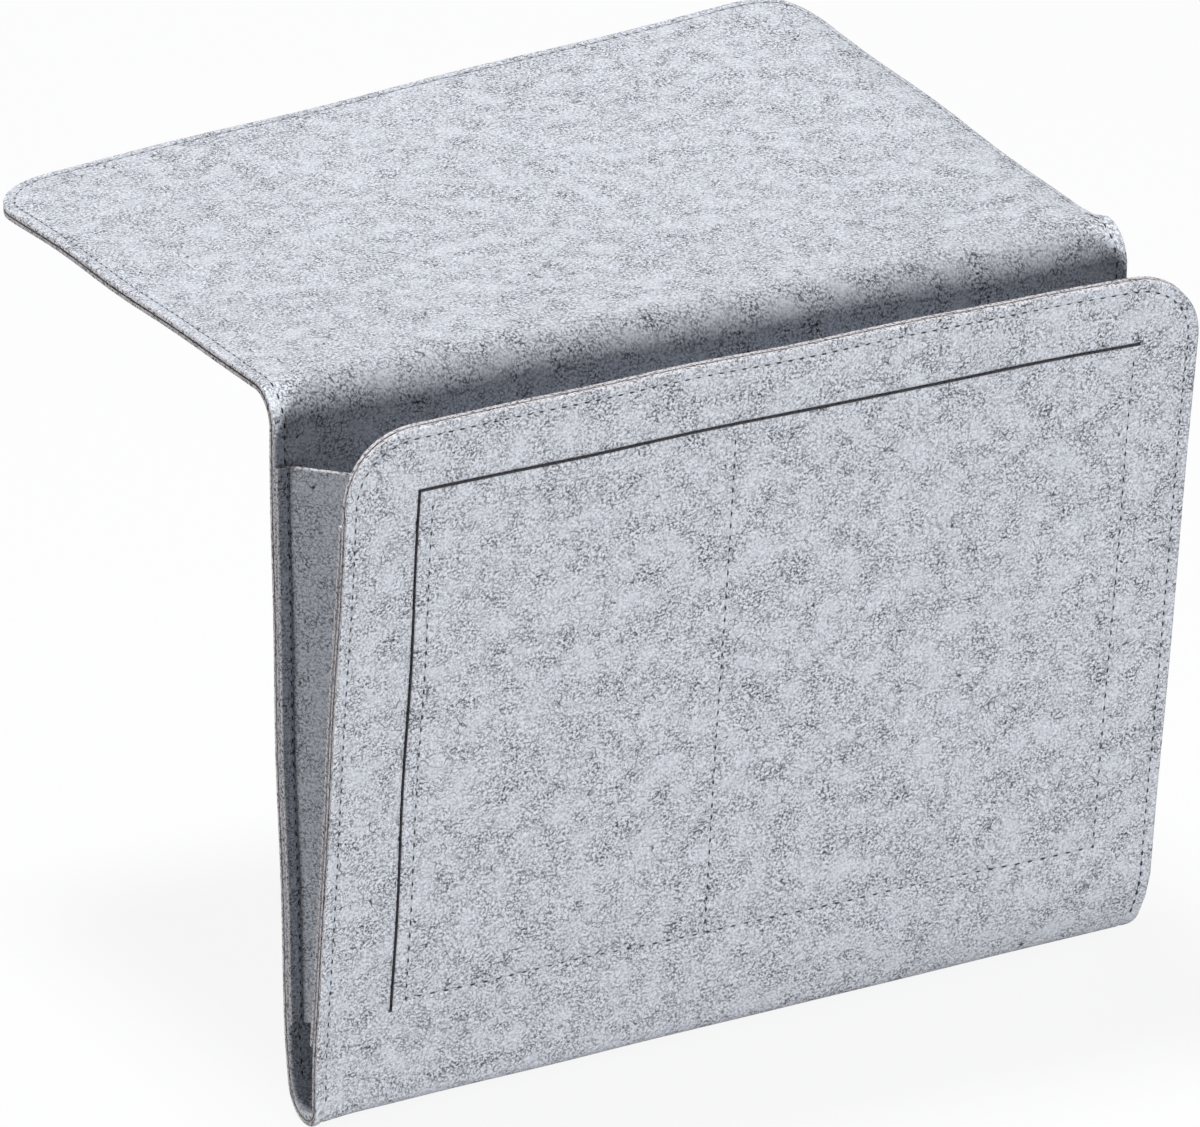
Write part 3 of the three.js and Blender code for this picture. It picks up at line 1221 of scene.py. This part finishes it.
@dataclass
class Caddy:
    """The whole caddy: its felt, its gussets and its seams; the seams off the shoulder ride on their
    bodies.
    """

    strip: Strip
    seams: SeamSizes
    felt: Material
    # The gussets' felt, darkened as painted shade.
    gusset_felt: Material
    edge: Material
    # The slit walls' material, painted dark as shade.
    slit_wall_shade: Material
    thread: Material
    # The needle holes' material, painted shade.
    hole: Material
    join_below_bend: float = 3 * MM

    @property
    def join(self) -> float:
        """The run where the upper and the lower lengths of felt meet."""
        return self.strip.back_start + self.join_below_bend

    def build(self) -> list[Object]:
        """Makes every piece.

        Returns:
            The pieces' objects.
        """
        felts = self.upper_felts() + self.lower_felts() + self.gussets()
        return felts + self.edge_seams() + self.front_seams()

    def upper_felts(self) -> list[Object]:
        """Makes both plies of the flap and the shoulder.

        Returns:
            The plies' objects.
        """
        strip, join = self.strip, self.join
        made = []
        for ply in Ply:
            word = ply.name.lower()
            sheet = FeltPly(strip, self.seams, ply, f"upper_felt_{word}", 0, join)
            piece = sheet.build([self.felt, self.edge])
            self.across_bend(piece)
            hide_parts(f"flap_{word}", f"shoulder_{word}")
            made.append(piece)
        return made

    def across_bend(self, piece: Object) -> None:
        """Bakes a piece's transform into its mesh."""
        start, stop = (self.strip.centre(run)[0] for run in (self.strip.bend_start, self.strip.back_start))
        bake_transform(piece)
        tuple(start)
        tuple(stop)

    def lower_felts(self) -> list[Object]:
        """Makes both plies of the back, the bottom fold and the front.

        Returns:
            The plies' objects.
        """
        strip, join = self.strip, self.join
        made = []
        for ply in Ply:
            word = ply.name.lower()
            slit = Slit() if ply is Ply.OUTER else None
            sheet = FeltPly(strip, self.seams, ply, f"lower_felt_{word}", join, strip.end, slit)
            piece = sheet.build([self.felt, self.edge, self.slit_wall_shade])
            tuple(strip.back_foot)
            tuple(strip.front_foot)
            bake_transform(piece)
            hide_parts(f"back_{word}", f"fold_{word}", f"front_{word}")
            strip.end - join
            made.append(piece)
        return made

    def gussets(self) -> list[Object]:
        """Makes both gussets, each in two halves that meet at the middle crease.

        Returns:
            The halves' objects.
        """
        made = []
        for side in Side:
            for half in Half:
                gusset = GussetHalf(self.strip, self.seams, side, half)
                piece = gusset.build([self.gusset_felt, self.edge])
                hinge = JOINTS[f"{gusset.side_name}_{half.value}_fold"]["pos_m"][0]
                f"{gusset.side_name}_{half.value}_leaf"
                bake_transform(piece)
                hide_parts(f"{gusset.name}_flange", f"{gusset.name}_leaf")
                wide = gusset.flange + gusset.leaf_width(gusset.top)
                narrow = gusset.flange + gusset.leaf_width(gusset.foot)
                made.append(piece)
        return made

    def outer_face(self, across: float, run: float) -> float:
        """Finds the depth of the outer felt's visible face."""
        return FeltPly.half_gap + FeltPly.thickness

    def inner_face(self, across: float, run: float) -> float:
        """Finds the depth of the lining's visible face, or of the gusset's flange that covers it.

        Args:
            across: Distance from the middle, to the right.
            run: Distance along the middle line from the flap's far end.

        Returns:
            The depth.
        """
        strip = self.strip
        rise = run - strip.front_run(0) if run > strip.front_start else strip.back_run(0) - run
        beside_edge = strip.half_width - abs(across) < GussetHalf.flange
        if beside_edge and GussetHalf.foot < rise < GussetHalf.top:
            deeper = GussetHalf.crease_groove - self.seams.groove_depth
            return deeper - GussetHalf.panel_depth - GussetHalf.hinge_depth - GussetHalf.half_thickness
        return -FeltPly.half_gap - FeltPly.thickness

    def rows(
        self, line: Callable[[float], tuple[float, float]], length: float, pitch: float
    ) -> list[StitchRow]:
        """Makes a row of stitches on both faces of the felt.

        Args:
            line: Gives across and run at a distance along the row.
            length: The row's length.
            pitch: About how long a stitch is.

        Returns:
            The rows on the outer and on the inner face.
        """
        faces = (self.outer_face, self.inner_face)
        return [StitchRow(self.strip, self.seams, line, length, pitch, face) for face in faces]

    def tongue_rows(self, from_run: float, at_flap: bool) -> list[StitchRow]:
        """Makes the edge rows up one side, round the end and down the other.

        Args:
            from_run: The run where the row starts and ends.
            at_flap: Whether it goes round the flap's end, not the front's.

        Returns:
            The rows on both faces.
        """
        strip, inset = self.strip, self.seams.edge_inset
        side = strip.half_width - inset
        radius = strip.corner_radius - inset
        straight = (from_run if at_flap else strip.end - from_run) - inset - radius
        quarter = radius * math.pi / 2
        length = 2 * (straight + quarter + side - radius)

        def line(along: float) -> tuple[float, float]:
            """Finds a place on the row.

            Args:
                along: Distance along the row.

            Returns:
                Across and run there.
            """
            mirrored = along > length / 2
            part = length - along if mirrored else along
            if part < straight:
                across, rest = -side, straight - part
            elif part < straight + quarter:
                angle = (part - straight) / radius
                across, rest = -side + radius - radius * math.cos(angle), -radius * math.sin(angle)
            else:
                across, rest = -side + radius + part - straight - quarter, -radius
            from_end = inset + radius + rest
            return (-across if mirrored else across), (from_end if at_flap else strip.end - from_end)

        return self.rows(line, length, self.seams.edge_pitch)

    def straight_rows(
        self, start: tuple[float, float], stop: tuple[float, float], pitch: float
    ) -> list[StitchRow]:
        """Makes straight rows between two places.

        Args:
            start: Across and run at the row's start.
            stop: Across and run at its end.
            pitch: About how long a stitch is.

        Returns:
            The rows on both faces.
        """
        first, last = Vector(start), Vector(stop)
        length = (last - first).length

        def line(along: float) -> tuple[float, float]:
            """Finds across and run at a distance along the row."""
            return tuple(first.lerp(last, along / length))

        return self.rows(line, length, pitch)

    def sew(self, node: str, rows: list[StitchRow], body: str | None) -> Object:
        """Makes a seam in place of a node.

        Args:
            node: The node that it replaces.
            rows: Its rows of stitches.
            body: The body it rides on, or none for a seam on the shoulder, which rides on no body.

        Returns:
            The seam's object.
        """
        piece = Seam(node.replace("seam", "stitches"), rows).build([self.thread, self.hole])
        if body:
            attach(piece, body)
        else:
            self.across_bend(piece)
        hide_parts(node)
        return piece

    def edge_seams(self) -> list[Object]:
        """Sews the row that follows the strip's cut edge.

        Returns:
            The seams' objects.
        """
        strip, seams = self.strip, self.seams
        flap = self.tongue_rows(strip.bend_start, at_flap=True)
        front = self.tongue_rows(strip.front_run(seams.edge_foot), at_flap=False)
        made = [self.sew("edge_seam_flap", flap, "flap"), self.sew("edge_seam_front", front, "front")]
        foot = strip.back_run(seams.edge_foot)
        for side in Side:
            word = side.name.lower()
            x = side.value * (strip.half_width - seams.edge_inset)
            bend = self.straight_rows((x, strip.bend_start), (x, strip.back_start), seams.edge_pitch)
            back = self.straight_rows((x, strip.back_start), (x, foot), seams.edge_pitch)
            made.append(self.sew(f"edge_seam_shoulder_{word}", bend, None))
            made.append(self.sew(f"edge_seam_back_{word}", back, "back"))
        return made

    def front_seams(self) -> list[Object]:
        """Sews the rows round and between the front pockets.

        Returns:
            The seams' objects.
        """
        strip, seams = self.strip, self.seams
        left, right, middle = seams.pocket_left, seams.pocket_right, seams.divider
        low, high = strip.front_run(seams.pocket_foot), strip.front_run(seams.pocket_top)
        pocket = (
            self.straight_rows((left, high), (left, low), seams.pocket_pitch)
            + self.straight_rows((left, low), (right, low), seams.pocket_pitch)
            + self.straight_rows((right, low), (right, high), seams.pocket_pitch))
        divider = self.straight_rows((middle, high), (middle, low), seams.divider_pitch)
        tack = middle - seams.back_tack_aside
        divider += self.straight_rows(
            (tack, low + seams.back_tack_above), (tack, low - seams.back_tack_below), seams.divider_pitch)
        return [self.sew("pocket_seam", pocket, "front"), self.sew("divider_seam", divider, "front")]


@dataclass(frozen=True)
class Softbox:
    """A soft rectangular lamp, with its power in watts."""

    name: str
    place: tuple[float, float, float]
    size: tuple[float, float]
    power: float

    def build(self, aim: Vector) -> None:
        """Makes the lamp.

        Args:
            aim: The point that it faces.
        """
        data = bpy.data.lights.new(self.name, "AREA")
        data.shape = "RECTANGLE"
        data.size, data.size_y = self.size
        data.energy = self.power
        lamp = bpy.data.objects.new(self.name, data)
        lamp.location = self.place
        lamp.rotation_euler = (aim - Vector(self.place)).to_track_quat("-Z", "Y").to_euler()
        bpy.context.scene.collection.objects.link(lamp)


@dataclass
class Studio:
    """A white studio: floor, soft lights and the camera at the photo's place."""

    # Angles are in degrees, and the focal length is in the photo's pixels.
    eye: tuple[float, float, float] = (-2.1047, -4.4216, 1.7715)
    azimuth: float = 25.671
    elevation: float = 21.27
    roll: float = -1.916
    focal_pixels: float = 15150
    floor_colour: str = "#f4f5f7"
    floor_bounce: str = "#707173"
    floor_glow: float = 0.9
    world_light: float = 0.03
    floor_size: float = 40.0
    aim: tuple[float, float, float] = (0, -0.1, -0.1)
    softboxes: tuple[Softbox, ...] = (
        Softbox("top_softbox", place=(-0.1, 0.25, 2.4), size=(0.6, 0.6), power=58),
        Softbox("front_softbox", place=(0.0, -5.0, 0.0), size=(0.3, 0.45), power=188),
        Softbox("left_softbox", place=(-2.4, 0.15, 0.0), size=(0.5, 0.4), power=24),
        Softbox("rear_softbox", place=(0.8, 3.0, 0.3), size=(2.0, 0.8), power=26),
    )

    def build(self, lowest: float) -> None:
        """Makes the floor, the lights and the camera.

        Args:
            lowest: The height of the caddy's lowest point, where the floor lies.
        """
        self.make_floor(lowest)
        self.make_world()
        for softbox in self.softboxes:
            softbox.build(Vector(self.aim))
        self.make_camera()

    def make_floor(self, lowest: float) -> None:
        """Makes the floor, which shows the camera a white that the shadow only tints.

        Args:
            lowest: The floor's height.
        """
        bm = bmesh.new()
        bmesh.ops.create_grid(bm, x_segments=1, y_segments=1, size=self.floor_size / 2)
        bmesh.ops.translate(bm, verts=bm.verts, vec=(0, 0, lowest))
        mesh = bpy.data.meshes.new("floor")
        bm.to_mesh(mesh)
        bm.free()
        floor = bpy.data.objects.new("floor", mesh)
        bpy.context.scene.collection.objects.link(floor)
        material, tree, shader = new_material("matte_white_paper", roughness=1.0, gloss=0.0)
        seen = self.seen(tree)
        bounced, shown = linear(self.floor_bounce), linear(self.floor_colour)
        tones = {"data_type": "RGBA", MIX_FIRST: bounced, MIX_SECOND: shown}
        mixed = add_node(tree, "ShaderNodeMix", tones, {0: seen})
        tree.links.new(shader.inputs["Base Color"], mixed.outputs[MIX_COLOUR])
        share = add_node(tree, "ShaderNodeMapRange", {"To Max": self.floor_glow}, {"Value": seen})
        white = add_node(tree, "ShaderNodeEmission", {"Strength": 1.0})
        layers = {0: share.outputs["Result"], 1: shader.outputs["BSDF"], 2: white.outputs["Emission"]}
        surface = add_node(tree, "ShaderNodeMixShader", {}, layers).outputs["Shader"]
        tree.links.new(tree.nodes["Material Output"].inputs["Surface"], surface)
        mesh.materials.append(material)
        floor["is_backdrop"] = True

    @staticmethod
    def seen(tree: NodeTree) -> NodeSocket:
        """Adds a test for rays that show the background: to the eye, in a reflection or through glass.

        Args:
            tree: The tree to add to.

        Returns:
            One for such a ray, else zero.
        """
        rays = add_node(tree, "ShaderNodeLightPath").outputs
        seen = rays["Is Camera Ray"]
        for name in ("Is Glossy Ray", "Is Transmission Ray"):
            either = add_node(tree, "ShaderNodeMath", {"operation": "MAXIMUM"}, {0: seen, 1: rays[name]})
            seen = either.outputs["Value"]
        return seen

    def make_world(self) -> None:
        """Makes a dim white world that the camera sees as white."""
        world = bpy.data.worlds.new("studio")
        world.use_nodes = True
        tree = world.node_tree
        seen = self.seen(tree)
        strength = add_node(tree, "ShaderNodeMapRange", {"To Min": self.world_light}, {"Value": seen})
        tree.links.new(tree.nodes["Background"].inputs["Strength"], strength.outputs["Result"])
        tree.nodes["Background"].inputs["Color"].default_value = (1, 1, 1, 1)
        bpy.context.scene.world = world

    def make_camera(self) -> None:
        """Makes the camera at the photo's place and angle."""
        azimuth, elevation, roll = (math.radians(a) for a in (self.azimuth, self.elevation, self.roll))
        forward = Vector((
            math.sin(azimuth) * math.cos(elevation),
            math.cos(azimuth) * math.cos(elevation),
            -math.sin(elevation)))
        level = Vector((math.cos(azimuth), -math.sin(azimuth), 0))
        upright = level.cross(forward)
        right = level * math.cos(roll) + upright * math.sin(roll)
        up = upright * math.cos(roll) - level * math.sin(roll)
        data = bpy.data.cameras.new("camera")
        data.sensor_width = FILM_WIDTH
        data.lens = self.focal_pixels / IMAGE_WIDTH * FILM_WIDTH
        camera = bpy.data.objects.new("camera", data)
        turn = Matrix((right, up, -forward)).transposed().to_4x4()
        camera.matrix_world = Matrix.Translation(self.eye) @ turn
        bpy.context.scene.collection.objects.link(camera)
        bpy.context.scene.camera = camera


def main() -> None:
    """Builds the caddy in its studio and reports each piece."""
    logging.basicConfig(level=logging.INFO, format="%(name)s: %(message)s")
    bpy.context.scene.view_settings.view_transform = "Standard"
    strip = Strip.from_frame()
    LOG.info("strip %.1f mm long, front %.1f mm", strip.end / MM, strip.front_length / MM)
    caddy = Caddy(
        strip, SeamSizes(), FELT.material(), SHADED_GUSSET_FELT.material(), EDGE.material(), SLIT_WALL_SHADE.material(),
        THREAD.material(), NEEDLE_HOLE_SHADE.material())
    for piece in caddy.build():
        LOG.info("%s: %d faces", piece.name, len(piece.data.polygons))
    low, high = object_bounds()
    Studio().build(low.z)


if __name__ == "__main__":
    main()
